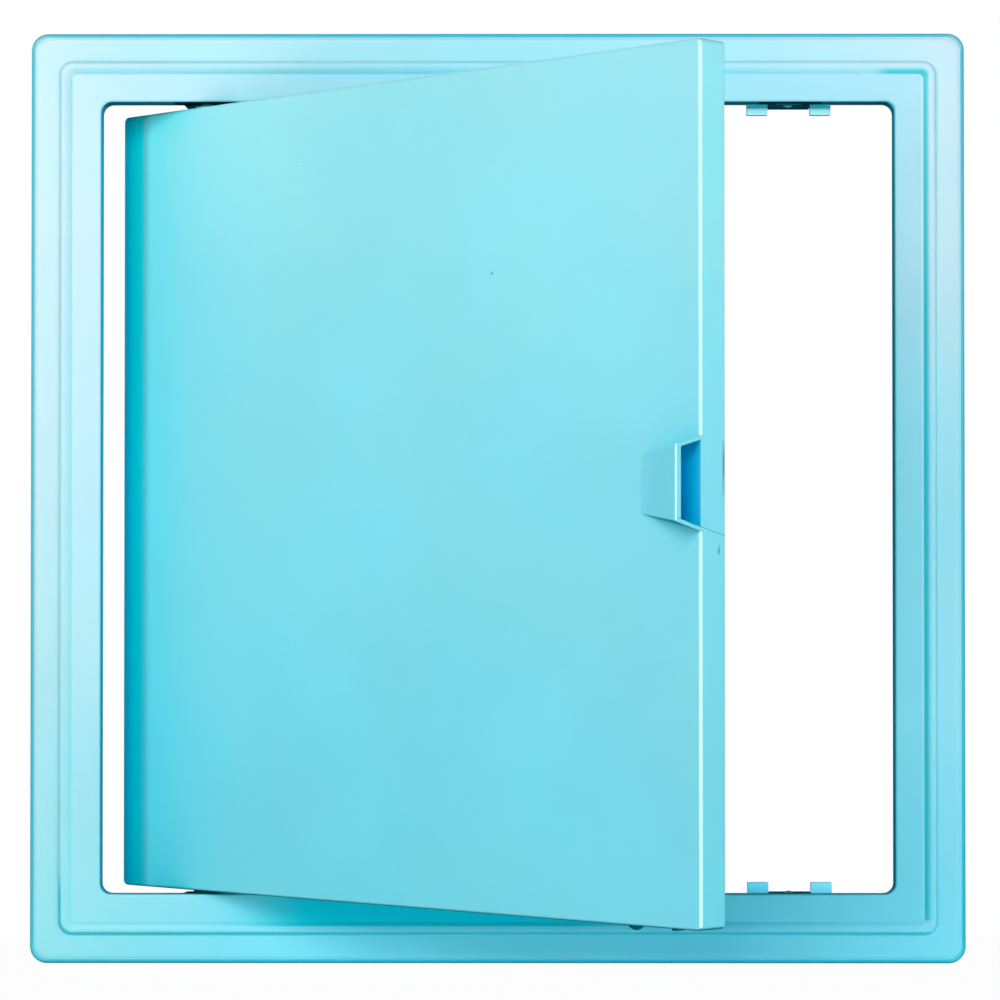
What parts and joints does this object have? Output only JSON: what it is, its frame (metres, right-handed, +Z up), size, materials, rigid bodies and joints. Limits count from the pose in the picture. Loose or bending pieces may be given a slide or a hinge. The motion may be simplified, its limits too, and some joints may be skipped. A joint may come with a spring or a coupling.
{
  "type": "access panel",
  "caption": "Square plastic access panel: a beaded flange frame for a wall or ceiling opening and a hinged flush door with a raised finger pull, pivot pins and snap catches.",
  "frame": {"origin": "centre of the wall or ceiling opening, in the plane where the flange's rim meets the wall", "axes": "+X to the right and +Z up as seen from the front, +Y into the wall; the visible face looks towards -Y and the hinge axis stands upright at the left"},
  "size_m": [0.222, 0.1415, 0.221],
  "materials": {
    "cyan_abs": "satin",
    "cyan_acetal": "satin"
  },
  "bodies": {
    "root": {"frame": "cyan_abs", "anchor_leg_top_left": "cyan_abs", "anchor_leg_bottom_left": "cyan_abs", "anchor_leg_top_right": "cyan_abs", "anchor_leg_bottom_right": "cyan_abs"},
    "door": {"door_panel": "cyan_abs", "pivot_pin_top": "cyan_acetal", "pivot_pin_bottom": "cyan_acetal"},
    "catch_top": {"catch_tongue_top": "cyan_abs"},
    "catch_bottom": {"catch_tongue_bottom": "cyan_abs"}
  },
  "joints": [
    {"name": "door_hinge", "type": "hinge", "parent": "root", "child": "door", "pos_m": [-0.06945, 0.0026, -0.00025], "axis": [0, 0, -1], "range_deg": [-44.45, 65.55]},
    {"name": "catch_top_flex", "type": "hinge", "parent": "door", "child": "catch_top", "pos_m": [0.02733, -0.09738, 0.09195], "axis": [-0.7139, 0.7003, 0], "range_deg": [0, 7], "stiffness_Nm_per_rad": 0.001, "springref_deg": -1.15},
    {"name": "catch_bottom_flex", "type": "hinge", "parent": "door", "child": "catch_bottom", "pos_m": [0.02733, -0.09738, -0.09245], "axis": [0.7139, -0.7003, 0], "range_deg": [0, 7], "stiffness_Nm_per_rad": 0.001, "springref_deg": -1.15}
  ]
}
